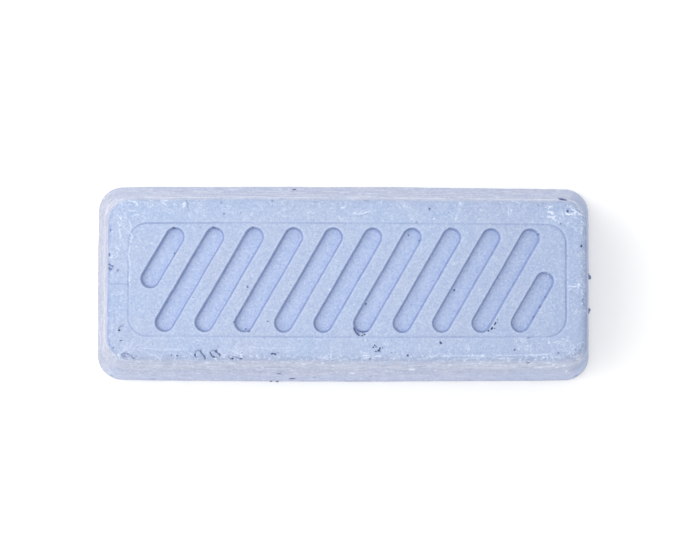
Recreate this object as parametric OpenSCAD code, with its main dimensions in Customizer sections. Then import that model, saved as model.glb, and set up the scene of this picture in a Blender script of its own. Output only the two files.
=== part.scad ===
// Polishing compound bar: one hard, wax-bound block cast in a drafted mould.
// Origin at the centre of the base, +X along the length, +Z up out of the mould's floor side.

/* [Bar] */
// Length of the base
bar_length = 110; // [90:1:140]
// Width of the base
bar_width = 43.3; // [38:0.1:60]
// Height from the base to the top face
bar_height = 28; // [20:0.5:36]
// How far the rounded rim of the top sits inside the base outline, on each side
rim_inset = 4.8; // [2:0.1:6]

/* [Corners and edges] */
// Plan radius of the four corners at the base
base_corner_r = 5.3; // [3:0.1:7]
// Plan radius of the four corners at the top rim
top_corner_r = 4.7; // [3:0.1:6]
// Rounding of the edge around the top face
top_edge_r = 1.6; // [0.6:0.1:2.4]
// Rounding of the edge around the base
base_edge_r = 0.7; // [0.3:0.1:1.2]

/* [Mould insert line] */
// Length of the insert's witness line
insert_length = 91.4; // [84:0.1:92]
// Width of the insert's witness line
insert_width = 23.6; // [20:0.1:26]
// Corner radius of the witness line
insert_r = 4; // [2:0.1:6]
// Width of the hairline
line_width = 0.3; // [0.2:0.05:0.6]
// Depth of the hairline
line_depth = 0.15; // [0.1:0.05:0.4]

/* [Slanted grooves] */
// Length of the grooved field
field_length = 86.4; // [60:0.1:88]
// Width of the grooved field
field_width = 21.9; // [14:0.1:22]
// Lean of the grooves from the width direction, in degrees
lean = 30; // [0:1:40]
// Distance between neighbouring grooves along the length
pitch = 8.25; // [6:0.05:14]
// Width of a groove at the top face
groove_width = 4.1; // [2:0.1:5]
// Depth of a groove
groove_depth = 1.2; // [0.4:0.1:2]
// Draft of a groove's wall, in degrees
groove_draft = 20; // [5:1:30]

/* [Hidden] */

// How far a cutting shape runs past the top face
over = 0.3;
// Flat of the top face inside its rounded rim
face_l = bar_length - 2 * (rim_inset + top_edge_r);
face_w = bar_width - 2 * (rim_inset + top_edge_r);
// The witness line and the grooved field, kept on that flat
line_l = min(insert_length, face_l - 1);
line_w = min(insert_width, face_w - 1);
line_r = min(insert_r, line_w / 2 - 1);
field_l = min(field_length, line_l - 2);
field_w = min(field_width, line_w - 1);
groove_r = groove_width / 2;
floor_r = max(0.25, groove_r - groove_depth * tan(groove_draft));
mouth_r = groove_r + over * tan(groove_draft);
// Furthest that a groove's end centre may lie from the middle of the field
end_x = field_l / 2 - groove_r;
end_y = field_w / 2 - groove_r;
// Grooves on each side of the middle one that keep some length inside the field
side_grooves = floor((end_x + end_y * tan(lean)) / pitch - 0.05);

// Stays within lo and hi
function clamp(v, lo, hi) = min(max(v, lo), hi);

// Height, in the field, at which the centre line of groove k crosses length position x
function line_y(k, x) = lean == 0 ? (x < 0 ? -end_y : end_y) : (x - k * pitch) / tan(lean);

// The lower and upper end of groove k, cut back to the field
function low_y(k) = lean == 0 ? -end_y : clamp(line_y(k, -end_x), -end_y, end_y);
function high_y(k) = lean == 0 ? end_y : clamp(line_y(k, end_x), -end_y, end_y);
function groove_point(k, y) = [k * pitch + y * tan(lean), y];

// A round puck with a rounded outer edge; eight of them span the bar
module puck(r, edge_r, z) {
    translate([0, 0, z])
        rotate_extrude($fn = 48)
            union() {
                translate([0, -edge_r]) square([r - edge_r, 2 * edge_r]);
                intersection() {
                    translate([r - edge_r, 0]) circle(r = edge_r, $fn = 40);
                    translate([0, -edge_r]) square([r, 2 * edge_r]);
                }
            }
}

// Places its child at the four corners of a rectangle
module at_corners(half_l, half_w) {
    for (sx = [-1, 1], sy = [-1, 1]) translate([sx * half_l, sy * half_w, 0]) children();
}

// The drafted block, with rounded corners and edges
module drafted_block() {
    hull() {
        at_corners(bar_length / 2 - base_corner_r, bar_width / 2 - base_corner_r)
            puck(base_corner_r, base_edge_r, base_edge_r);
        at_corners(bar_length / 2 - rim_inset - top_corner_r, bar_width / 2 - rim_inset - top_corner_r)
            puck(top_corner_r, top_edge_r, bar_height - top_edge_r);
    }
}

// A flat rectangle with rounded corners
module rounded_plate(l, w, r) {
    square([l - 2 * r, w], center = true);
    square([l, w - 2 * r], center = true);
    at_corners(l / 2 - r, w / 2 - r) circle(r = r, $fn = 64);
}

// Hairline that the edge of the mould's insert leaves in the top face
module witness_line() {
    translate([0, 0, bar_height - line_depth])
        linear_extrude(line_depth + over)
            difference() {
                rounded_plate(line_l + line_width, line_w + line_width, line_r + line_width / 2);
                rounded_plate(line_l - line_width, line_w - line_width, line_r - line_width / 2);
            }
}

// One groove with round ends and drafted walls, from point a to point b
module groove(a, b) {
    run = norm(b - a);
    depth = groove_depth + over;
    translate([a[0], a[1], bar_height - groove_depth])
        rotate([0, 0, atan2(b[1] - a[1], b[0] - a[0])]) {
            cylinder(h = depth, r1 = floor_r, r2 = mouth_r, $fn = 64);
            translate([run, 0, 0]) cylinder(h = depth, r1 = floor_r, r2 = mouth_r, $fn = 64);
            rotate([90, 0, 90])
                linear_extrude(run)
                    polygon([[-floor_r, 0], [floor_r, 0], [mouth_r, depth], [-mouth_r, depth]]);
        }
}

// The row of parallel grooves, the end ones cut back to the field
module groove_row() {
    for (k = [-side_grooves : side_grooves])
        if (high_y(k) - low_y(k) > 2)
            groove(groove_point(k, low_y(k)), groove_point(k, high_y(k)));
}

// The whole casting
module cast_bar() {
    color([0.72, 0.785, 0.90])
        difference() {
            drafted_block();
            witness_line();
            groove_row();
        }
}

cast_bar();
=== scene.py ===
"""Looks of the cast polishing compound bar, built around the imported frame. Lengths below are in millimetres until the mesh is made."""

import math

import bmesh
import bpy
import numpy as np
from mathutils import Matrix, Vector, kdtree
from mathutils.geometry import delaunay_2d_cdt


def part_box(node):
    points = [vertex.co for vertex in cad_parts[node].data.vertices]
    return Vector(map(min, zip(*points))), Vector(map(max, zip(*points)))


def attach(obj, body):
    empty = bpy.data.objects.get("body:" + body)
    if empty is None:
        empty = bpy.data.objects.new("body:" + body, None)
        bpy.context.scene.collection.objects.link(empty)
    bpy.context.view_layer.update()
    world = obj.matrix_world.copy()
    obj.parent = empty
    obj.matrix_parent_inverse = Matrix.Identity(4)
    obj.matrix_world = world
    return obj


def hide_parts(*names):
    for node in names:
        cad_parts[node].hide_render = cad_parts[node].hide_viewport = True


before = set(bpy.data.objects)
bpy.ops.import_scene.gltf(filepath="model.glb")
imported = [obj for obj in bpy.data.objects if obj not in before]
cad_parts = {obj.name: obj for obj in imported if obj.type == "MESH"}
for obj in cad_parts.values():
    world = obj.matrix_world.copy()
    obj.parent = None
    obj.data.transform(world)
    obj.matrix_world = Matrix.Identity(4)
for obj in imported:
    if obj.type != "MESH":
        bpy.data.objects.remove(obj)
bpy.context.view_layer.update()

MM = 0.001
rng = np.random.default_rng(41)

# ---------------------------------------------------------------- sizes

low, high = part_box("cast_bar")
CX, CY, Z0 = (low.x + high.x) / 2 / MM, (low.y + high.y) / 2 / MM, low.z / MM
L, W, H = (high.x - low.x) / MM, (high.y - low.y) / MM, (high.z - low.z) / MM

RIM_INSET, RIM_R, BASE_R = 4.8, 1.6, 0.7  # how far the rim sits in, and the two edge roundings
BASE_C, TOP_C = 5.3, RIM_INSET + 4.7  # how far the corner centres sit in, at the base and at the rim
TOP_RING, UNDER_RING = 6.9, 1.8  # insets where the side band meets the top and the underside
LINE_L, LINE_W, LINE_R = 91.4, 23.6, 4.0  # witness line of the mould's insert
GROOVE_R, GROOVE_D, GROOVE_SLOPE = 2.05, 1.2, 1 / math.tan(math.radians(20))
FIELD_X, FIELD_Y = 43.2 - GROOVE_R, 10.95 - GROOVE_R
PITCH, LEAN = 8.25, math.tan(math.radians(30))


def clamp(v, a, b):
    return min(max(v, a), b)


GROOVES = []
for k in range(-5, 6):
    y0 = clamp((-FIELD_X - k * PITCH) / LEAN, -FIELD_Y, FIELD_Y)
    y1 = clamp((FIELD_X - k * PITCH) / LEAN, -FIELD_Y, FIELD_Y)
    GROOVES.append((np.array([k * PITCH + y0 * LEAN, y0]), np.array([k * PITCH + y1 * LEAN, y1])))

# ---------------------------------------------------------------- marks of casting and handling
# Each is (x, y, z, half length, half width, turn in degrees, depth, strength).

PITS = [
    (-49.9, 2.35, 28, 0.22, 0.2, 67, 0.3, 0.9), (-47.8, 1.9, 28, 0.42, 0.20, 50, 0.12, 0.5), (-49.8, 5.2, 28, 0.30, 0.24, 0, 0.3, 0.9),
    (-49.5, 10.3, 28, 0.28, 0.18, 30, 0.2, 0.6), (-47.5, -10.65, 28, 0.27, 0.2, 20, 0.35, 1.0), (-47.1, -12.8, 28, 0.34, 0.13, 10, 0.2, 0.7),
    (-48.8, -14.4, 28, 0.16, 0.3, 0, 0.2, 0.6), (-50.0, -13.9, 27.6, 0.2, 0.15, 0, 0.2, 0.4), (-47.7, 10.8, 28, 0.12, 0.16, 0, 0.15, 0.5),
    (-36.65, -15.7, 28, 0.2, 0.3, 0, 0.15, 0.45), (-35.5, -15.8, 28, 0.2, 0.17, 0, 0.3, 0.9), (-35.4, -15.2, 28, 0.12, 0.2, 0, 0.1, 0.3),
    (-31.8, -15.7, 28, 0.15, 0.32, 0, 0.3, 1.0), (-30.75, -14.85, 28, 0.15, 0.17, 0, 0.3, 1.0), (-27.45, -14.87, 28, 0.24, 0.17, 0, 0.35, 1.0),
    (-26.65, -15.55, 28, 0.14, 0.2, 20, 0.25, 0.9), (-24.0, -16.55, 27.9, 0.24, 0.24, 0, 0.4, 1.0), (-22.2, -16.5, 27.9, 0.24, 0.18, 20, 0.35, 0.9),
    (-26.9, -16.4, 27.9, 0.2, 0.12, 31, 0.2, 0.6), (-26.2, -17.1, 25.4, 0.36, 0.5, 0, 0.25, 0.6), (-15.75, -15.3, 28, 0.36, 0.2, 12, 0.4, 1.0),
    (-15.2, -15.35, 28, 0.34, 0.16, -4, 0.35, 1.0), (-14.6, -15.1, 28, 0.34, 0.1, 8, 0.15, 0.6), (-27.0, -13.9, 28, 0.14, 0.22, 0, 0.1, 0.4),
    (-46.9, -15.75, 28, 0.16, 0.1, -12, 0.15, 0.6), (-46.5, -16.1, 28, 0.12, 0.2, 20, 0.15, 0.6), (-44.6, -16.45, 27.9, 0.13, 0.2, 20, 0.2, 0.7),
    (-43.9, -16.1, 28, 0.13, 0.16, 0, 0.12, 0.4),
    (6.45, -14.6, 28, 0.32, 0.24, 10, 0.5, 1.0), (6.68, -14.15, 28, 0.16, 0.28, 0, 0.35, 0.95), (5.9, -14.72, 28, 0.22, 0.15, -10, 0.35, 0.9),
    (5.3, -13.92, 28, 0.2, 0.18, 0, 0.35, 0.95), (5.6, -13.48, 28, 0.16, 0.17, 0, 0.35, 0.95), (5.88, -13.8, 28, 0.14, 0.18, 20, 0.3, 0.8),
    (7.25, -14.0, 28, 0.1, 0.24, 20, 0.2, 0.6), (4.65, -16.4, 28, 0.26, 0.18, 0, 0.25, 0.75), (9.1, -15.0, 28, 0.2, 0.14, 0, 0.12, 0.4),
    (12.5, -15.6, 28, 0.27, 0.2, 45, 0.3, 0.9), (1.5, -16.5, 27.9, 0.26, 0.13, 0, 0.1, 0.35), (-3.3, -16.8, 27.3, 0.2, 0.25, 0, 0.15, 0.4),
    (19.4, -13.0, 28, 0.36, 0.24, -50, 0.3, 0.8), (34.9, -14.5, 28, 0.24, 0.2, 45, 0.25, 0.65), (37.8, -12.0, 28, 0.40, 0.15, 31, 0.15, 0.5),
    (44.1, -15.2, 28, 0.22, 0.18, 0, 0.2, 0.5), (47.8, -14.7, 28, 0.22, 0.18, 0, 0.15, 0.45), (38.2, -17.3, 24.2, 0.42, 0.8, 0, 0.3, 0.9),
    (-26.5, 16.0, 28, 0.24, 0.2, 0, 0.15, 0.4), (-25.9, 13.7, 28, 0.3, 0.14, 0, 0.2, 0.55), (-22.4, 13.9, 28, 0.13, 0.24, 0, 0.12, 0.35),
    (-15.9, 16.5, 28, 0.14, 0.26, 20, 0.2, 0.6), (-6.9, 16.2, 28, 0.62, 0.1, 0, 0.1, 0.5), (3.65, 16.9, 27.8, 0.26, 0.12, -10, 0.15, 0.5),
    (4.15, 16.6, 27.9, 0.2, 0.14, 0, 0.15, 0.45), (17.1, 14.9, 28, 0.24, 0.2, 0, 0.25, 0.7), (14.3, 12.1, 28, 0.16, 0.16, 0, 0.15, 0.4),
    (39.85, 15.85, 28, 0.28, 0.13, -50, 0.12, 0.4), (40.85, 16.4, 27.9, 0.14, 0.26, 0, 0.12, 0.35), (39.9, 9.75, 28, 0.26, 0.16, 0, 0.2, 0.6),
    (44.65, 12.0, 28, 0.22, 0.16, -30, 0.15, 0.5), (46.1, 14.75, 28, 0.26, 0.25, 0, 0.45, 1.0), (46.85, 14.6, 28, 0.2, 0.14, 0, 0.15, 0.45),
    (48.05, 14.3, 28, 0.13, 0.17, 0, 0.2, 0.6), (48.95, 7.3, 28, 0.24, 0.26, 0, 0.4, 1.0), (48.2, 6.0, 28, 0.13, 0.22, 0, 0.2, 0.65),
    (46.0, 5.15, 28, 0.15, 0.14, 0, 0.1, 0.4), (50.2, 10.2, 26.4, 0.3, 0.4, 0, 0.2, 0.5), (50.2, 4.2, 26.2, 0.3, 0.3, 0, 0.2, 0.5),
    (46.0, 17.6, 22.4, 0.88, 2.9, 0, 0.7, 1.0), (-11.3, 20.5, 6.8, 0.5, 1.7, 0, 0.45, 1.0), (-11.6, -20.9, 4.8, 0.75, 1.0, 0, 0.3, 0.9),
    (-14.5, -19.7, 11.2, 0.62, 0.8, 0, 0.25, 0.7), (-6.7, -20.6, 6.4, 0.4, 0.6, 0, 0.2, 0.6), (5.7, -20.2, 8.0, 0.3, 0.6, 0, 0.2, 0.5),
    (-51.6, -20.5, 3.0, 0.6, 0.7, 0, 0.25, 0.5), (-42.6, -21.2, 2.8, 0.5, 0.5, 0, 0.25, 0.5), (51.6, -20.4, 3.0, 0.6, 0.7, 0, 0.3, 0.5),
    (33.1, -21.4, 1.7, 0.3, 0.3, 0, 0.2, 0.6),
    # worn spots where the groove mouths have broken
    (2.95, -11.5, 28, 0.2, 0.17, 0, 0.35, 1.0), (3.45, -11.25, 28, 0.22, 0.17, 30, 0.35, 1.0), (3.1, -10.95, 28, 0.17, 0.15, 0, 0.3, 0.8),
    (2.2, -11.0, 28, 0.5, 0.28, -35, 0.3, 0.45), (30.1, -10.0, 28, 0.34, 0.2, 55, 0.35, 1.0), (30.8, -9.0, 28, 0.42, 0.16, 60, 0.3, 0.9),
    (29.4, -10.5, 28, 0.26, 0.17, 20, 0.3, 0.8), (30.7, -10.0, 28, 0.15, 0.13, 0, 0.2, 0.6), (31.3, -8.2, 28, 0.25, 0.12, 60, 0.2, 0.5),
    (38.9, -7.6, 28, 0.36, 0.13, 60, 0.2, 0.5), (40.2, -5.4, 28, 0.4, 0.13, 60, 0.22, 0.6), (41.4, -3.4, 28, 0.3, 0.14, 60, 0.2, 0.5),
    (-28.1, 10.9, 28, 0.4, 0.18, -20, 0.2, 0.6), (-36.3, 10.8, 28, 0.36, 0.16, -25, 0.22, 0.8), (-12.2, -4.4, 28, 0.24, 0.14, 60, 0.15, 0.4),
    (14.9, 8.3, 28, 0.26, 0.14, 60, 0.18, 0.4), (-19.9, 10.9, 28, 0.3, 0.15, -20, 0.2, 0.6), (-20.6, -10.7, 28, 0.3, 0.16, 20, 0.25, 0.8),
    (-21.3, -10.2, 28, 0.22, 0.16, 60, 0.2, 0.7), (-16.7, -8.6, 28, 0.2, 0.16, 0, 0.2, 0.7), (21.2, 10.9, 28, 0.3, 0.15, 0, 0.2, 0.4),
    # inside the field
    (22.3, -2.0, 28, 0.22, 0.2, 0, 0.25, 0.8), (3.8, -4.9, 28, 0.2, 0.18, 0, 0.2, 0.8), (-20.9, -1.5, 28, 0.22, 0.2, 0, 0.2, 0.7),
    (-23.8, -8.8, 28, 0.18, 0.16, 0, 0.2, 0.6), (12.7, 9.4, 28, 0.2, 0.18, 0, 0.2, 0.7), (-36.2, 5.5, 28, 0.2, 0.17, 0, 0.2, 0.6),
]

# Open burst bubbles, each a broken ring: (x, y, half length, half width, turn)
BURSTS = [(-49.6, 2.6, 0.62, 0.52, 90)]

# Whitish smears: (x, y, z, half length, half width, turn, strength)
SMEARS = [
    (-34.25, 15.7, 28, 0.36, 0.62, 0, 1.0), (-34.5, 15.1, 28, 0.26, 0.2, 0, 0.8), (-41.8, 15.8, 28, 0.28, 0.26, 45, 0.95),
    (-44.0, 13.5, 28, 0.5, 0.18, 12, 0.8), (-44.75, 14.35, 28, 0.36, 0.15, 0, 0.7), (-47.3, 12.6, 28, 0.26, 0.26, 0, 0.85),
    (-49.1, 10.0, 28, 0.3, 0.22, 30, 0.7), (-40.4, 12.75, 28, 0.8, 0.25, 0, 0.55), (-31.7, 12.6, 28, 0.28, 0.2, 0, 0.6),
    (-21.0, 12.8, 28, 0.24, 0.22, 0, 0.8), (-15.6, 12.7, 28, 0.18, 0.18, 0, 1.0), (-16.1, 12.3, 28, 0.2, 0.14, 0, 0.8), (-15.6, 13.3, 28, 0.13, 0.22, 0, 0.8),
    (-6.9, 14.6, 28, 0.25, 0.2, 0, 0.6), (-3.6, 14.3, 28, 0.3, 0.2, 40, 0.6), (-0.95, 15.05, 28, 0.5, 0.2, 20, 0.85),
    (9.3, 14.4, 28, 0.5, 0.3, 15, 0.5), (18.0, 12.8, 28, 0.3, 0.3, 60, 0.8), (27.8, 14.8, 28, 0.4, 0.22, -39, 0.9),
    (31.3, 14.6, 28, 0.24, 0.2, 0, 0.6), (29.3, 12.8, 28, 0.24, 0.2, 0, 0.6), (33.5, 12.6, 28, 0.3, 0.2, 0, 0.7),
    (41.45, 15.45, 28, 0.34, 0.17, -10, 1.0), (42.3, 14.4, 28, 0.45, 0.14, -3, 1.0), (42.2, 13.5, 28, 0.4, 0.12, 0, 0.9), (43.3, 12.75, 28, 0.34, 0.14, -40, 0.9),
    (44.45, 15.0, 28, 0.14, 0.13, 0, 1.0), (44.95, 14.95, 28, 0.15, 0.13, 0, 1.0), (45.6, 15.05, 28, 0.15, 0.13, 0, 0.9), (43.6, 13.9, 28, 0.9, 0.7, 0, 0.5),
    (46.2, 14.0, 28, 0.5, 0.16, -6, 1.0), (47.9, 14.45, 28, 0.24, 0.26, 0, 0.95), (48.6, 14.2, 28, 0.4, 0.16, -20, 1.0), (44.65, 11.6, 28, 0.15, 0.14, 0, 0.8),
    (48.95, 10.1, 28, 0.2, 0.4, 0, 1.0), (49.05, 12.5, 28, 0.15, 0.42, 0, 1.0), (49.0, 3.1, 28, 0.17, 0.38, 0, 0.95), (48.8, 2.0, 28, 0.15, 0.13, 0, 0.7),
    (48.15, 0.15, 28, 0.2, 0.26, 0, 0.85), (48.6, -2.6, 28, 0.7, 0.9, 30, 0.42), (48.2, -4.9, 28, 0.2, 0.17, 0, 0.9), (49.05, -4.7, 28, 0.32, 0.22, -40, 1.0),
    (47.85, -6.0, 28, 0.17, 0.34, 0, 0.75), (49.6, -6.3, 27.8, 0.4, 0.16, 75, 0.7), (48.6, 5.6, 28, 0.4, 0.6, 0, 0.4),
    (44.1, -13.1, 28, 0.5, 0.18, 34, 0.7), (42.1, -13.0, 28, 0.34, 0.2, 66, 1.0), (40.7, -14.4, 28, 0.4, 0.24, -49, 0.8),
    (42.8, -14.2, 28, 0.3, 0.2, 0, 0.7), (37.8, -12.3, 28, 0.35, 0.18, 10, 0.8), (36.7, -13.0, 28, 0.25, 0.2, 0, 0.7),
    (33.8, -14.3, 28, 0.28, 0.2, 0, 0.8), (27.9, -14.7, 28, 0.24, 0.2, 0, 0.8), (17.1, -14.8, 28, 0.32, 0.22, 0, 0.8),
    (16.4, -14.1, 28, 0.25, 0.2, 0, 0.6), (3.6, -12.4, 28, 0.2, 0.34, 0, 0.95), (3.6, -13.1, 28, 0.14, 0.14, 0, 0.8), (5.0, -11.6, 28, 0.15, 0.24, 0, 0.8),
    (6.95, -12.6, 28, 0.1, 0.26, 0, 0.8), (5.4, -14.4, 28, 0.14, 0.14, 0, 0.8), (-45.3, -0.2, 28, 0.3, 0.16, 45, 0.7),
    (-48.3, 2.2, 28, 0.17, 0.36, 0, 0.9), (41.8, 1.4, 28, 0.55, 1.4, 0, 0.5), (44.1, 3.8, 28, 0.6, 0.2, -40, 0.6),
    (-18.7, 8.1, 28, 0.3, 0.18, 0, 0.6), (-26.9, 7.4, 28, 0.3, 0.3, 0, 0.5), (-28.1, 3.5, 28, 0.3, 0.2, 0, 0.4), (-34.2, -12.8, 28, 0.6, 0.5, 0, 0.4),
    (-29.5, -17.3, 24.5, 0.6, 1.0, 0, 0.8), (-26.5, -17.2, 24.8, 0.45, 0.8, 0, 0.7), (-24.0, -17.4, 24, 0.55, 1.0, 0, 0.8),
    (-12.5, -17.2, 25, 0.55, 0.9, 0, 0.75), (-9.0, -17.6, 23, 0.6, 1.2, 0, 0.8), (-5.2, -17.3, 24.4, 0.45, 1.0, 0, 0.8), (-3.0, -17.9, 21.5, 0.35, 1.2, 0, 0.8),
    (1.5, -19.6, 12, 0.7, 1.5, 0, 0.8), (26.5, -17.5, 23.6, 0.8, 0.9, 0, 0.85), (28.2, -17.6, 22.8, 0.35, 1.1, 0, 0.8), (42.5, -17.3, 24.5, 0.45, 1.2, 0, 0.85),
    (44.0, -17.8, 21.8, 0.35, 1.2, 0, 0.9), (45.2, -18.4, 18.5, 0.3, 1.2, 0, 0.85), (46.5, -18.0, 20.5, 0.35, 1.3, 0, 0.9), (48.0, -19.3, 13, 0.35, 1.4, 0, 0.8),
    (39.0, -17.4, 24, 0.35, 0.9, 0, 0.8), (35.8, -18.2, 19.5, 0.45, 1.2, 0, 0.8), (-36.5, -17.8, 22, 0.4, 1.0, 0, 0.7), (-18.0, -18.4, 18.5, 0.4, 1.1, 0, 0.7),
    (14.2, -18.7, 16.6, 0.8, 1.6, 0, 0.9), (41.3, -18.4, 18.4, 1.0, 1.2, 0, 0.7), (21.8, -17.5, 22.8, 0.8, 0.9, 0, 0.6),
    (43.4, -18.2, 19.2, 0.5, 0.9, 0, 0.6), (27.3, -17.9, 20.8, 0.6, 0.8, 0, 0.6), (-13.1, -18.4, 18.1, 1.3, 0.5, 0, 0.5),
    (7.8, -18.4, 18.3, 0.9, 0.5, 0, 0.5), (34.0, -18.0, 20.4, 0.4, 0.6, 0, 0.6), (-36.1, -17.4, 23.9, 0.5, 0.6, 0, 0.6),
    (35.0, -19.6, 12.0, 0.6, 0.9, 0, 0.5), (-41.9, 17.8, 21.7, 1.4, 0.8, 0, 0.8), (-9.5, 17.5, 23.5, 1.7, 0.7, 0, 0.6),
    (1.4, 17.2, 24.6, 1.2, 0.6, 0, 0.6), (7.7, 17.4, 23.8, 0.9, 0.7, 0, 0.5), (48.6, 17.2, 21.8, 0.9, 1.0, 0, 0.7),
    (16.5, 17.9, 20.7, 1.1, 0.5, 0, 0.5), (-51.0, 14.5, 21.1, 0.5, 1.6, 0, 0.5), (-51.7, -14.3, 18.0, 0.5, 1.2, 0, 0.5),
]

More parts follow.
